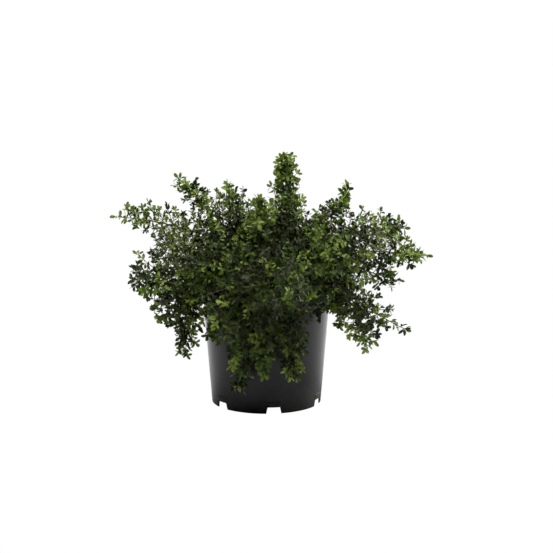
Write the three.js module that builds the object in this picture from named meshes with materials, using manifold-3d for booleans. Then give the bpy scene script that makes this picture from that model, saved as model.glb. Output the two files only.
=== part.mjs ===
// A potted ceanothus: a low, spreading evergreen shrub in a black nursery pot.
// Millimetres, +Z up. The origin is on the ground, on the pot's axis. The front of the plant faces -Y.
//
// The shrub is built as it grows. A short trunk stands in the potting mix and forks into boughs that fan out.
// Each bough goes on as the stem of one mass of foliage, which carries side twigs and pairs of leaves by a
// seeded rule. A mass keeps to the space that lies nearer to its own stem than to any other, so that no two
// masses touch.

import * as THREE from "three";
import { mergeVertices } from "three/addons/utils/BufferGeometryUtils.js";
import Module from "manifold-3d";

const wasm = await Module();
wasm.setup();

// Gap between pieces that meet
const CLEAR = 0.3;

// Pot: an injection-moulded nursery pot with a notched foot ring
const POT_HEIGHT = 200;
const FOOT_RADIUS = 89.5;
const WALL_SLOPE = 0.08; // run outwards for each millimetre of height
const WALL = 2;
const RIM_OUT = 5.5; // overhang of the rim beyond the wall
const RIM_DEPTH = 11;
const RIM_EDGE = 1.5; // bevel on the rim's outer edges
const FLOOR_UNDERSIDE = 12;
const FLOOR = 2.5;
const POT_SIDES = 36;

// Notches in the foot ring, and the drain slot in the floor behind each one
const NOTCH_COUNT = 6;
const NOTCH_FIRST = -82; // degrees, the one nearest the front
const NOTCH_TOP_WIDTH = 20;
const NOTCH_FOOT_WIDTH = 25;
const NOTCH_HEIGHT = 10.5;
const DRAIN_WIDTH = 9;
const DRAIN_LENGTH = 22;

// Potting mix
const SOIL_TOP = 180;
const SOIL_DIP = 4; // how far it has sunk at the wall
const SOIL_FLAT = 34; // radius of the level middle that the trunk stands on

// Trunk
const TRUNK_HEIGHT = 60;
const TRUNK_RADIUS = 9;
const TRUNK_TAPER = 0.72; // top radius over the radius above the flare
const TRUNK_FLARE = 5.5; // extra radius where it leaves the ground
const TRUNK_LEAN = 5;
const TRUNK_SIDES = 8;

// Boughs: the bare limbs between the trunk and the foliage
const BOUGH_RADIUS = 2.2;
const BOUGH_TIP_RADIUS = 1.5;
const BOUGH_SHARE = 0.25; // of the line from the trunk to the shoot's tip
const BOUGH_SIDES = 5;
const BOUGH_ROWS = 3;
const FORK_LOW = 13; // lowest and highest place on the trunk where a bough starts
const FORK_HIGH = 52;
const FORK_STEP = 4; // between one bough and the next

// Foliage: one stem for each mass, side twigs along it, and leaves in pairs along both
const STEM_TIP_RADIUS = 0.8;
const STEM_ROWS = 5;
const TWIG_RADIUS = 1.0;
const TWIG_TIP_RADIUS = 0.6;
const TWIG_SHORTENING = 0.82; // share of its length that a twig loses towards the shoot's tip
const TWIG_SIDES = 3;
const GOLDEN_ANGLE = 137.5; // degrees between one twig and the next, round the stem
const LEAF_LENGTH = 66;
const LEAF_SHORTENING = 0.5; // share of its length that a leaf loses towards the shoot's tip
const LEAF_WIDTH = 0.68; // share of the length
const LEAF_THICKNESS = 0.05; // share of the length
const LEAF_WIDEST = 0.62; // share of the length from the root to the widest place
const LEAF_ANGLE = 48; // degrees from the twig
const LEAF_SUNK = 0.4; // how far the root goes past the twig's axis
const ROOT_OVERLAP = 0.3; // cubic millimetres that leaves may share at their roots
const LEAF_PLACES = [0.5, 0.98]; // places of the pairs along a twig
const TIP_REACH = 0.5; // how far a shoot's last leaves reach beyond its stem, as a share of their length
const GROWTH_SEED = 8500;
const SPACE_GAP = 1.6; // a mass stays this much nearer to its own stem than to any other
const POT_GAP = 5; // and this far from the pot

// The crown's reach: no twig or leaf goes beyond it
const CROWN = new THREE.Box3(
  new THREE.Vector3(-268, -246, 24),
  new THREE.Vector3(268, 246, 411),
);

// The habits of the shoots. climb: how steeply one leaves the trunk; bend and droop: where it bends over
// before its tip; twig: the length of its longest twigs; angle: theirs from the stem, in degrees; lift: how far
// they turn up to the light or sag, as a share of their length; leaf: its leaves' share of the full leaf length;
// pairs: the leaf pairs along its stem.
const LEANING = { climb: 66, bend: 1.5, droop: -100, twig: 50, angle: 42, lift: 0.15, leaf: 0.75, pairs: 2 };
const UPRIGHT = { climb: 66, bend: 0.86, droop: -70, twig: 44, angle: 42, lift: 0.15, leaf: 0.85, pairs: 1 };
const SLENDER = { climb: 66, bend: 1.2, droop: -70, twig: 28, angle: 40, lift: 0.1, leaf: 0.55, pairs: 2 };
const RISING = { climb: 34, bend: 0.8, droop: -30, twig: 46, angle: 48, lift: 0.1, leaf: 0.85, pairs: 1 };
const LEVEL = { climb: 60, bend: 0.8, droop: 2, twig: 42, angle: 54, lift: 0.2, leaf: 0.7, pairs: 1 };
const SPREADING = { climb: 42, bend: 0.86, droop: 10, twig: 58, angle: 54, lift: 0, leaf: 1, pairs: 1 };
const ARCHING = { climb: 46, bend: 0.84, droop: 50, twig: 56, angle: 54, lift: -0.15, leaf: 1, pairs: 1 };
const SLANTING = { climb: 66, bend: 0.7, droop: 10, twig: 42, angle: 50, lift: -0.1, leaf: 0.75, pairs: 2 };
const TRAILING = { climb: 38, bend: 0.9, droop: 140, twig: 52, angle: 54, lift: -0.15, leaf: 0.9, pairs: 1 };
const HANGING = { climb: 60, bend: 1.14, droop: 240, twig: 44, angle: 54, lift: -0.25, leaf: 0.7, pairs: 2 };

// Every shoot: its habit, then its tip's bearing in degrees from +X, reach from the axis and height
const SHOOTS = {
  crest: [LEANING, 17, 29, 409],
  upper_left: [RISING, 165, 157, 371],
  upper_right: [SLENDER, 14, 132, 362],
  upper_front: [UPRIGHT, -100, 72, 350],
  upper_back_left: [UPRIGHT, 127, 110, 358],
  upper_back_right: [UPRIGHT, 64, 114, 338],
  far_left: [LEVEL, 171, 262, 299],
  left: [SPREADING, -170, 222, 204],
  right_shoulder: [LEVEL, 18, 254, 275],
  right_arch: [LEVEL, -10, 270, 247],
  right: [LEVEL, 4, 228, 196],
  back_left: [SPREADING, 140, 246, 232],
  back: [SPREADING, 98, 238, 222],
  back_right: [SPREADING, 60, 246, 228],
  front_left: [TRAILING, -120, 156, 114],
  front: [SPREADING, -82, 234, 205],
  front_right: [ARCHING, -50, 154, 166],
  left_low: [ARCHING, -160, 210, 177],
  front_low: [HANGING, -91, 165, 62],
  right_low: [SLANTING, -26, 258, 138],
  back_low: [ARCHING, 44, 206, 140],
  left_hang: [HANGING, -147, 149, 76],
  right_hang: [TRAILING, -38, 203, 97],
  front_hang_left: [HANGING, -106, 141, 32],
  front_hang_right: [HANGING, -74, 142, 54],
  back_hang: [HANGING, 120, 158, 98],
  left_fall: [ARCHING, -151, 193, 144],
  right_fall: [HANGING, -32, 136, 122],
};

const UP = new THREE.Vector3(0, 0, 1);

const POT_PLASTIC = new THREE.MeshStandardMaterial({ color: 0x1b1b1c, roughness: 0.45, metalness: 0 });
const POTTING_MIX = new THREE.MeshStandardMaterial({ color: 0x2b1f17, roughness: 0.95, metalness: 0 });
const BARK = new THREE.MeshStandardMaterial({ color: 0x4a3a2a, roughness: 0.85, metalness: 0 });
const FOLIAGE = new THREE.MeshStandardMaterial({ color: 0x2f4a1c, roughness: 0.42, metalness: 0 });

// A closed geometry as a solid
function solidOf(geometry) {
  const bare = geometry.clone();
  bare.deleteAttribute("normal");
  bare.deleteAttribute("uv");
  const merged = mergeVertices(bare, 1e-4);
  return new wasm.Manifold(
    new wasm.Mesh({
      numProp: 3,
      vertProperties: new Float32Array(merged.attributes.position.array),
      triVerts: new Uint32Array(merged.index.array),
    }),
  );
}

// A solid as a flat-shaded geometry
function geometryOf(solid) {
  const mesh = solid.getMesh();
  const geometry = new THREE.BufferGeometry();
  geometry.setAttribute("position", new THREE.BufferAttribute(mesh.vertProperties, 3));
  geometry.setIndex(new THREE.BufferAttribute(mesh.triVerts, 1));
  const flat = geometry.toNonIndexed();
  flat.computeVertexNormals();
  return flat;
}

// The one outer body of a joined mass, with any hollow sealed inside it filled and any loose scrap left out
function largestBody(solid) {
  return solid.decompose().reduce((largest, body) => (body.volume() > largest.volume() ? body : largest));
}

// The same random numbers on every run, from a linear congruential rule
function seeded(seed) {
  let state = Math.imul(seed + 1, 2654435761) >>> 0;
  return (low, high) => {
    state = (Math.imul(state, 1664525) + 1013904223) >>> 0;
    return low + ((high - low) * state) / 4294967296;
  };
}

// A turned solid from a profile of [radius, height] points that starts and ends on the axis
function turned(profile, sides) {
  const points = profile.map(([radius, height]) => new THREE.Vector2(radius, height));
  return solidOf(new THREE.LatheGeometry(points, sides).rotateX(Math.PI / 2));
}

const potRadius = (height) => FOOT_RADIUS + WALL_SLOPE * height;
const RIM_RADIUS = potRadius(POT_HEIGHT) + RIM_OUT;

// Pot wall, rim, floor and foot ring in one turned section, then the notches and drain slots cut out of it
function makePot() {
  const floorTop = FLOOR_UNDERSIDE + FLOOR;
  const rimFoot = POT_HEIGHT - RIM_DEPTH;
  let pot = turned(
    [
      [0, floorTop],
      [0, FLOOR_UNDERSIDE],
      [potRadius(FLOOR_UNDERSIDE) - WALL, FLOOR_UNDERSIDE],
      [FOOT_RADIUS - WALL, 0],
      [FOOT_RADIUS, 0],
      [potRadius(rimFoot), rimFoot],
      [RIM_RADIUS - RIM_EDGE, rimFoot],
      [RIM_RADIUS, rimFoot + RIM_EDGE],
      [RIM_RADIUS, POT_HEIGHT - RIM_EDGE],
      [RIM_RADIUS - RIM_EDGE, POT_HEIGHT],
      [potRadius(POT_HEIGHT) - WALL, POT_HEIGHT],
      [potRadius(floorTop) - WALL, floorTop],
      [0, floorTop],
    ],
    POT_SIDES,
  );
  const notchProfile = new THREE.Shape([
    new THREE.Vector2(-NOTCH_FOOT_WIDTH / 2, -1),
    new THREE.Vector2(NOTCH_FOOT_WIDTH / 2, -1),
    new THREE.Vector2(NOTCH_TOP_WIDTH / 2, NOTCH_HEIGHT),
    new THREE.Vector2(-NOTCH_TOP_WIDTH / 2, NOTCH_HEIGHT),
  ]);
  const notchDepth = 12;
  for (let i = 0; i < NOTCH_COUNT; i++) {
    const bearing = THREE.MathUtils.degToRad(NOTCH_FIRST + (360 / NOTCH_COUNT) * i);
    const turn = new THREE.Matrix4().makeRotationZ(bearing);
    const notch = new THREE.ExtrudeGeometry(notchProfile, { depth: notchDepth, bevelEnabled: false })
      .rotateX(Math.PI / 2)
      .rotateZ(Math.PI / 2)
      .translate(FOOT_RADIUS - notchDepth / 2, 0, 0);
    const drain = new THREE.BoxGeometry(DRAIN_LENGTH, DRAIN_WIDTH, 4 * FLOOR);
    drain.translate(FOOT_RADIUS - WALL - 1 - DRAIN_LENGTH / 2, 0, FLOOR_UNDERSIDE + FLOOR / 2);
    pot = pot.subtract(solidOf(notch.applyMatrix4(turn))).subtract(solidOf(drain.applyMatrix4(turn)));
  }
  return geometryOf(pot);
}

// Potting mix that fills the pot, level in the middle and sunk a little at the wall
function makeSoil() {
  const bottom = FLOOR_UNDERSIDE + FLOOR + CLEAR;
  const edge = SOIL_TOP - SOIL_DIP;
  const inside = (height) => potRadius(height) - WALL - CLEAR;
  const profile = [
    [0, bottom],
    [inside(bottom), bottom],
    [inside(edge), edge],
    [SOIL_FLAT, SOIL_TOP],
    [0, SOIL_TOP],
  ];
  return geometryOf(turned(profile, POT_SIDES));
}

// A round limb along a stretch of a curve: a cylinder whose rings are set on the curve.
// radiusAt takes the share of the way along, 0 to 1.
function limb(curve, start, end, radiusAt, sides, rows) {
  const geometry = new THREE.CylinderGeometry(1, 1, 1, sides, rows);
  const position = geometry.attributes.position;
  const chord = curve.getPoint(end).sub(curve.getPoint(start)).normalize();
  const across = Math.abs(chord.z) < 0.9 ? UP.clone().cross(chord) : new THREE.Vector3(1, 0, 0);
  const vertex = new THREE.Vector3();
  for (let i = 0; i < position.count; i++) {
    vertex.fromBufferAttribute(position, i);
    const share = vertex.y + 0.5;
    const at = start + (end - start) * share;
    const tangent = curve.getTangent(at);
    const side = across.clone().addScaledVector(tangent, -across.dot(tangent)).normalize();
    const lift = side.clone().cross(tangent);
    const outward = side.multiplyScalar(vertex.x).addScaledVector(lift, vertex.z);
    const place = curve.getPoint(at).addScaledVector(outward, radiusAt(share));
    position.setXYZ(i, place.x, place.y, place.z);
  }
  return solidOf(geometry);
}

const tapered = (from, to) => (share) => from + (to - from) * share;

const TRUNK_LINE = new THREE.QuadraticBezierCurve3(
  new THREE.Vector3(0, 0, SOIL_TOP + CLEAR),
  new THREE.Vector3(0, 0, SOIL_TOP + TRUNK_HEIGHT / 2),
  new THREE.Vector3(TRUNK_LEAN, 0, SOIL_TOP + TRUNK_HEIGHT),
);

// The trunk, or with a margin the space that the boughs have to leave free round it
function trunkSolid(margin) {
  const radiusAt = (share) => {
    const above = tapered(TRUNK_RADIUS, TRUNK_RADIUS * TRUNK_TAPER)(share);
    return above + TRUNK_FLARE * Math.exp(-7 * share) + margin;
  };
  return limb(TRUNK_LINE, 0, 1, radiusAt, TRUNK_SIDES, 6);
}

// A shoot's line, from the heart of the trunk to its tip. Shoots with lower tips start lower down, and every
// other one a little lower still.
function shootLine([habit, bearing, reach, height], index) {
  const share = THREE.MathUtils.clamp((height - CROWN.min.z) / (CROWN.max.z - CROWN.min.z), 0, 1);
  const step = index % 2 ? FORK_STEP : 0;
  const fork = (FORK_LOW + (FORK_HIGH - FORK_LOW) * share - step) / TRUNK_HEIGHT;
  const start = TRUNK_LINE.getPoint(fork);
  const angle = THREE.MathUtils.degToRad(bearing);
  const out = new THREE.Vector3(Math.cos(angle), Math.sin(angle), 0);
  const tip = out.clone().multiplyScalar(reach).setZ(height);
  const leaving = start.clone().addScaledVector(out, 0.3 * reach).addScaledVector(UP, habit.climb);
  const arriving = out.clone().multiplyScalar(habit.bend * reach).setZ(height + habit.droop);
  return new THREE.CubicBezierCurve3(start, leaving, arriving, tip);
}

const LINES = Object.values(SHOOTS).map(shootLine);
const LINE_POINTS = LINES.map((line) => line.getPoints(80));
const BOUGH_POINTS = LINE_POINTS.map((points) => points.slice(0, Math.ceil(80 * BOUGH_SHARE) + 1));
const STEM_POINTS = LINE_POINTS.map((points) => points.slice(Math.floor(80 * BOUGH_SHARE)));

const nearest = (point, points) => Math.min(...points.map((other) => point.distanceTo(other)));

// Whether points lie in a mass's own space: inside the crown, off the pot and the mix, clear of every limb,
// and nearer to its own stem than to any other
function inOwnSpace(points, index) {
  return points.every((point) => {
    if (!CROWN.containsPoint(point)) return false;
    const radius = Math.hypot(point.x, point.y);
    const overPot = radius < RIM_RADIUS + POT_GAP;
    if (overPot && point.z < POT_HEIGHT + POT_GAP) return false;
    if (BOUGH_POINTS.some((bough) => nearest(point, bough) < BOUGH_RADIUS + 3)) return false;
    const own = nearest(point, STEM_POINTS[index]);
    return STEM_POINTS.every((stem, other) => other === index || nearest(point, stem) > own + SPACE_GAP);
  });
}

// A leaf, folded a little along its midrib, its root at the origin and its tip along +X
const LEAF = new THREE.TetrahedronGeometry(Math.sqrt(3)).rotateZ(-Math.PI / 4);
LEAF.scale(1 / Math.SQRT2, LEAF_WIDTH / Math.SQRT2, LEAF_THICKNESS).scale(0.5, 0.5, 0.5);
LEAF.translate(0.5, 0, -LEAF_THICKNESS / 2);
{
  const position = LEAF.attributes.position;
  for (let i = 0; i < position.count; i++) {
    if (position.getZ(i) < -LEAF_THICKNESS / 2) position.setX(i, LEAF_WIDEST);
  }
}

// The direction that leaves a limb at an angle in degrees, turned round the limb by some radians
function sideways(tangent, turn, degrees) {
  const level = Math.abs(tangent.z) < 0.95 ? UP : new THREE.Vector3(1, 0, 0);
  const outward = new THREE.Vector3().crossVectors(tangent, level).normalize().applyAxisAngle(tangent, turn);
  const angle = THREE.MathUtils.degToRad(degrees);
  return outward.multiplyScalar(Math.sin(angle)).addScaledVector(tangent, Math.cos(angle));
}

// One leaf from a place on a twig, or null where it would leave the mass's space
function makeLeaf(place, direction, face, length, index) {
  const across = face.clone().cross(direction).normalize();
  const normal = direction.clone().cross(across);
  const root = place.clone().addScaledVector(direction, -LEAF_SUNK);
  const matrix = new THREE.Matrix4().makeBasis(direction, across, normal).setPosition(root);
  const geometry = LEAF.clone().scale(length, length, length).applyMatrix4(matrix);
  const half = across.clone().multiplyScalar((length * LEAF_WIDTH) / 2);
  const widest = root.clone().addScaledVector(direction, length * LEAF_WIDEST);
  const tip = root.clone().addScaledVector(direction, length);
  const midrib = [widest.clone().lerp(root, 0.5), widest, tip];
  const edges = [widest.clone().add(half), widest.clone().sub(half)];
  return inOwnSpace([...midrib, ...edges], index) ? solidOf(geometry) : null;
}

// A leaf where there is room for one: the full length first, then shorter. It keeps clear of earlier leaves.
function roomyLeaf(place, direction, face, length, index, earlier) {
  for (const shorter of [1, 0.75, 0.55]) {
    const leaf = makeLeaf(place, direction, face, length * shorter, index);
    if (leaf && !earlier.some((other) => other.intersect(leaf).volume() > ROOT_OVERLAP)) return leaf;
  }
  return null;
}

// Adds pairs of leaves along a line to those of its mass. Each pair is turned a quarter from the last.
function addLeaves(leaves, line, places, length, random, index) {
  const quarter = random(0, Math.PI);
  places.forEach((share, pair) => {
    const place = line.getPoint(share);
    const tangent = line.getTangent(share);
    for (const turn of [0, Math.PI]) {
      const direction = sideways(tangent, quarter + (pair * Math.PI) / 2 + turn, LEAF_ANGLE);
      const tilt = new THREE.Vector3(random(-1, 1), random(-1, 1), random(-1, 1));
      const face = tangent.clone().addScaledVector(UP, 0.5).add(tilt);
      const leaf = roomyLeaf(place, direction, face, length * random(0.8, 1.08), index, leaves);
      if (leaf) leaves.push(leaf);
    }
  });
}

// The line of a side twig, turned up to the light or sagging, or null where it would leave the mass's space
function makeTwig(stem, share, turn, habit, length, index) {
  const base = stem.getPoint(share);
  const heading = sideways(stem.getTangent(share), turn, habit.angle);
  heading.addScaledVector(UP, habit.lift).normalize();
  const line = new THREE.LineCurve3(base, base.clone().addScaledVector(heading, length));
  return inOwnSpace([line.getPoint(0.5), line.v2], index) ? line : null;
}

// A side twig where there is room for one: the full length first, then shorter, then turned to another side
function roomyTwig(stem, share, turn, habit, length, index) {
  for (const further of [0, Math.PI / 2, -Math.PI / 2, Math.PI]) {
    for (const shorter of [1, 0.6]) {
      const twig = makeTwig(stem, share, turn + further, habit, length * shorter, index);
      if (twig) return twig;
    }
  }
  return null;
}

// What is left of a length after shortening, at a share of the way along a shoot
const shortened = (length, loss, share) => length * (1 - loss * share ** 2.5);

// One mass: the stem that carries on from a bough, its twigs and their leaves, joined into one solid
function makeFoliage([habit], index) {
  const random = seeded(GROWTH_SEED + index);
  const line = LINES[index];
  const start = BOUGH_SHARE + CLEAR / line.getLength();
  const fullLeaf = habit.leaf * LEAF_LENGTH;
  const tipLeaf = shortened(fullLeaf, LEAF_SHORTENING, 1);
  const stop = 1 - (TIP_REACH * tipLeaf) / line.getLength();
  const row = (number) => start + ((stop - start) * number) / STEM_ROWS;
  const stemRadius = tapered(BOUGH_TIP_RADIUS, STEM_TIP_RADIUS);
  const limbs = [limb(line, start, stop, stemRadius, TWIG_SIDES, STEM_ROWS)];
  const leaves = [];
  const firstTurn = random(0, 2 * Math.PI);
  for (let i = 1; i < STEM_ROWS; i++) {
    const turn = firstTurn + THREE.MathUtils.degToRad(GOLDEN_ANGLE * i) + random(-0.3, 0.3);
    const length = shortened(habit.twig, TWIG_SHORTENING, row(i)) * random(0.8, 1.1);
    const leafLength = shortened(fullLeaf, LEAF_SHORTENING, row(i)) * random(0.85, 1.05);
    const twig = roomyTwig(line, row(i), turn, habit, length, index);
    if (!twig) continue;
    limbs.push(limb(twig, 0, 1, tapered(TWIG_RADIUS, TWIG_TIP_RADIUS), TWIG_SIDES, 1));
    addLeaves(leaves, twig, LEAF_PLACES, leafLength, random, index);
  }
  const end = new THREE.LineCurve3(line.getPoint(row(STEM_ROWS - 1)), line.getPoint(stop));
  addLeaves(leaves, end, LEAF_PLACES, tipLeaf, random, index);
  for (let i = 1; i <= habit.pairs; i++) {
    addLeaves(leaves, line, [row(STEM_ROWS - i)], fullLeaf, random, index);
  }
  return geometryOf(largestBody(wasm.Manifold.union([...limbs, ...leaves])));
}

// A bough, or with a margin the space that other boughs have to leave free round it
function boughSolid(line, margin) {
  const radiusAt = tapered(BOUGH_RADIUS + margin, BOUGH_TIP_RADIUS + margin);
  return limb(line, 0, BOUGH_SHARE, radiusAt, BOUGH_SIDES, BOUGH_ROWS);
}

function addMesh(parent, name, geometry, material) {
  const mesh = new THREE.Mesh(geometry, material);
  mesh.name = name;
  parent.add(mesh);
}

const plant = new THREE.Group();
addMesh(plant, "pot", makePot(), POT_PLASTIC);
addMesh(plant, "soil", makeSoil(), POTTING_MIX);
addMesh(plant, "trunk", geometryOf(trunkSolid(0)), BARK);

// Where boughs crowd together at the trunk, each is cut clear of those already made
let taken = trunkSolid(CLEAR);
Object.entries(SHOOTS).forEach(([name, shoot], index) => {
  const bough = boughSolid(LINES[index], 0);
  addMesh(plant, `bough_${name}`, geometryOf(largestBody(bough.subtract(taken))), BARK);
  taken = taken.add(boughSolid(LINES[index], CLEAR));
  addMesh(plant, `foliage_${name}`, makeFoliage(shoot, index), FOLIAGE);
});

export default plant;
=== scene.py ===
# %% [markdown]
# # A potted ceanothus
# A small-leaved evergreen shrub in a black nursery pot, dressed for a picture. The solid model of the plant
# comes in as a fixed frame. It gives every piece its place, and each piece made here stands in for one or
# more of its solids.

# %% Load the solid model
import math

import bpy
import numpy as np
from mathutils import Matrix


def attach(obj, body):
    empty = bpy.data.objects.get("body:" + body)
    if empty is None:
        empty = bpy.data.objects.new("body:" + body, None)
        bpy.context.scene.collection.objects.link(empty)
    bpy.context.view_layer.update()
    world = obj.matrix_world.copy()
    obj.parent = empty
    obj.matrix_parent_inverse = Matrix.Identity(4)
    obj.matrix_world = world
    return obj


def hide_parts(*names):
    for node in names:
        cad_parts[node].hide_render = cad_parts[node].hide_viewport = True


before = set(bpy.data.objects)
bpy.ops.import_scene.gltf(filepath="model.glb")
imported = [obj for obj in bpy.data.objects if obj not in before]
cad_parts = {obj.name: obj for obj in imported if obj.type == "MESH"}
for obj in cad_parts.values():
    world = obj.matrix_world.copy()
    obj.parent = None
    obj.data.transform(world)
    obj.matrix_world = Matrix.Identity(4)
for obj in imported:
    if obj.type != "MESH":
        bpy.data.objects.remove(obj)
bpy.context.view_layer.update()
MM = 0.001

# %% [markdown]
# ## Camera
# The picture was taken from about two metres away, a little above the leaves, with a long lens. The height
# and tilt come from how the round foot of the pot appears as an ellipse. A long lens far away keeps the sides
# of the pot nearly parallel, as they are in the picture.

# %% Place the camera
PICTURE_SIDE = 553
FOCAL_PIXELS = 1350
SENSOR = 36

camera = bpy.data.objects.new("camera", bpy.data.cameras.new("camera"))
camera.data.sensor_width = SENSOR
camera.data.lens = SENSOR * FOCAL_PIXELS / PICTURE_SIDE
camera.location = (0.0166, -2.168, 0.577)
camera.rotation_euler = (math.radians(80.3), 0, 0)
bpy.context.scene.collection.objects.link(camera)
bpy.context.scene.camera = camera
print("lens", round(camera.data.lens, 1), "mm")

# %% [markdown]
# ## Finishes as sums
# A finish is easier to read as a sum than as a web of nodes. The small class Wire holds one output of a node,
# and adding or multiplying wires adds Math nodes. The class Finish holds the material. Its method node makes
# every other node: the settings are given first, then the values or wires of its sockets.

# %% Wires and finishes
class Wire:
    """One output in a finish. Python's operators on it add Math nodes."""

    def __init__(self, finish, socket):
        self.finish = finish
        self.socket = socket

    def maths(self, operation, first, second):
        return self.finish.node("ShaderNodeMath", {"operation": operation}, {0: first, 1: second})

    def __add__(self, other):
        return self.maths("ADD", self, other)

    def __sub__(self, other):
        return self.maths("SUBTRACT", self, other)

    def __rsub__(self, other):
        return self.maths("SUBTRACT", other, self)

    def __mul__(self, other):
        return self.maths("MULTIPLY", self, other)

    __radd__ = __add__
    __rmul__ = __mul__


class Finish:
    """A material, with one method that adds nodes to it."""

    def __init__(self, name):
        self.material = bpy.data.materials.new(name)
        self.material.use_nodes = True
        self.tree = self.material.node_tree
        self.shader = self.tree.nodes["Principled BSDF"]

    def feed(self, node, sockets):
        for name, value in sockets.items():
            if isinstance(value, Wire):
                self.tree.links.new(value.socket, node.inputs[name])
            else:
                node.inputs[name].default_value = value

    def node(self, kind, settings=None, sockets=None, output=0):
        node = self.tree.nodes.new(kind)
        for name, value in (settings or {}).items():
            setattr(node, name, value)
        self.feed(node, sockets or {})
        return Wire(self, node.outputs[output])

    def place(self, stretch=(1, 1, 1)):
        """Where a point is on the plant, in metres, with the pattern squeezed by some factor each way."""
        whole = self.node("ShaderNodeTexCoord", output="Object")
        return self.node("ShaderNodeMapping", {}, {"Vector": whole, "Scale": stretch})

    def noise(self, scale, detail=3.0, stretch=(1, 1, 1)):
        """Soft noise from 0 to 1. The scale counts its patches in a metre."""
        sockets = {"Vector": self.place(stretch), "Scale": scale, "Detail": detail}
        return self.node("ShaderNodeTexNoise", {}, sockets)

    def fade(self, value, low, high):
        """0 below low, 1 above high, and a smooth step between them."""
        sockets = {"Value": value, "From Min": low, "From Max": high}
        return self.node("ShaderNodeMapRange", {"interpolation_type": "SMOOTHSTEP"}, sockets)

    def blend(self, share, first, second):
        """The first colour where share is 0, and the second where it is 1."""
        return self.node("ShaderNodeMix", {"data_type": "RGBA"}, {0: share, 6: first, 7: second}, 2)

    def bump(self, height, distance):
        return self.node("ShaderNodeBump", {}, {"Height": height, "Distance": distance})


def colour(red, green, blue):
    """A colour as a screen shows it, from 0 to 255, as the linear values that a shader reads."""
    screen = [value / 255 for value in (red, green, blue)]
    linear = [x / 12.92 if x <= 0.04045 else ((x + 0.055) / 1.055) ** 2.4 for x in screen]
    return (*linear, 1)


# %% [markdown]
# ## Pot
# A nursery pot is injection-moulded in one thin wall: a foot ring that stands on the ground, a floor a little
# above it, a wall that widens upwards and a rim that turns over. A lathe gives all of that. Here one ring of
# edges is pulled along the section of the pot, from the middle of its underside, up the outside, over the rim
# and down the inside.

# %% Pull a ring along the section of the pot
POT_HEIGHT = 200
FOOT_RADIUS = 89.5
WALL_SLOPE = 0.08
WALL = 2
RIM_OUT = 5.5
RIM_DEPTH = 11
FLOOR_UNDERSIDE = 12
FLOOR = 2.5
POT_SIDES = 144
NOTCH_FIRST = -82
NOTCH_COUNT = 6
PAD_LOW = 11.6
PAD_TOP = 19.8


def pot_radius(height):
    """Outside of the wall, in millimetres."""
    return FOOT_RADIUS + WALL_SLOPE * height


def start_ring(name, radius, height, sides, turn=0.0):
    """A new piece that starts as a flat disc, with its edge selected in edit mode."""
    bpy.ops.object.select_all(action="DESELECT")
    bpy.ops.mesh.primitive_circle_add(
        vertices=sides,
        radius=radius * MM,
        fill_type="NGON",
        location=(0, 0, height * MM),
        rotation=(0, 0, math.radians(turn)),
    )
    piece = bpy.context.object
    piece.name = name
    bpy.ops.object.transform_apply(location=True, rotation=True, scale=True)
    bpy.ops.object.mode_set(mode="EDIT")
    bpy.ops.mesh.select_mode(type="EDGE")
    bpy.ops.mesh.select_all(action="SELECT")
    bpy.ops.mesh.region_to_loop()
    return piece


def pull_ring(start, section):
    """Pulls the selected ring through each radius and height of a section, in millimetres."""
    radius, height = start
    for next_radius, next_height in section:
        step = (0, 0, (next_height - height) * MM)
        bpy.ops.mesh.extrude_edges_move(TRANSFORM_OT_translate={"value": step})
        wider = next_radius / radius
        bpy.ops.transform.resize(value=(wider, wider, 1), center_override=(0, 0, 0))
        radius, height = next_radius, next_height


def close_ring():
    """Fills the last ring, and turns every face outwards."""
    bpy.ops.mesh.edge_face_add()
    bpy.ops.mesh.select_all(action="SELECT")
    bpy.ops.mesh.normals_make_consistent(inside=False)
    bpy.ops.object.mode_set(mode="OBJECT")


rim = pot_radius(POT_HEIGHT) + RIM_OUT
rim_foot = POT_HEIGHT - RIM_DEPTH
inside_top = pot_radius(POT_HEIGHT) - WALL
floor_top = FLOOR_UNDERSIDE + FLOOR
underside = (pot_radius(FLOOR_UNDERSIDE) - WALL, FLOOR_UNDERSIDE)
foot = [(FOOT_RADIUS - WALL, 0.5), (FOOT_RADIUS - 1.5, 0), (FOOT_RADIUS - 0.5, 0), (pot_radius(0.5), 0.5)]
outside = [(pot_radius(z), z) for z in (5, PAD_LOW, PAD_TOP, 60, 100, 140, 175, rim_foot - 1)]
rim_under = [(pot_radius(rim_foot) + 0.6, rim_foot), (rim - 1.6, rim_foot), (rim - 0.5, rim_foot + 0.4)]
rim_over = [(rim, rim_foot + 1.6), (rim, POT_HEIGHT - 2), (rim - 0.6, POT_HEIGHT - 0.6)]
rim_top = [(rim - 2, POT_HEIGHT), (inside_top + 1, POT_HEIGHT), (inside_top, POT_HEIGHT - 1)]
inside = [(pot_radius(z) - WALL, z) for z in (170, 120, 60, floor_top)]

sector = 360 / POT_SIDES
pot = start_ring("pot_shell", *underside, POT_SIDES, turn=NOTCH_FIRST % sector)
pull_ring(underside, foot + outside + rim_under + rim_over + rim_top + inside)
close_ring()
print("pot wall:", len(pot.data.polygons), "faces")

# %% [markdown]
# Above each notch in the foot the wall carries a shallow raised pad, where the mould is stiffened. The wall
# already has a ring of edges at the pad's lower and upper side, so the pads are faces picked by their place,
# inset and scaled away from the axis.

# %% Raise a pad above each notch
PAD_HALF_ANGLE = 7.6
PAD_OUT = 1.007


def pick_faces(piece, test):
    """Goes into edit mode with just those faces selected whose middle passes the test."""
    bpy.ops.object.mode_set(mode="EDIT")
    bpy.ops.mesh.select_mode(type="FACE")
    bpy.ops.mesh.select_all(action="DESELECT")
    bpy.ops.object.mode_set(mode="OBJECT")
    for face in piece.data.polygons:
        face.select = test(face.center / MM)
    bpy.ops.object.mode_set(mode="EDIT")


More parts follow.
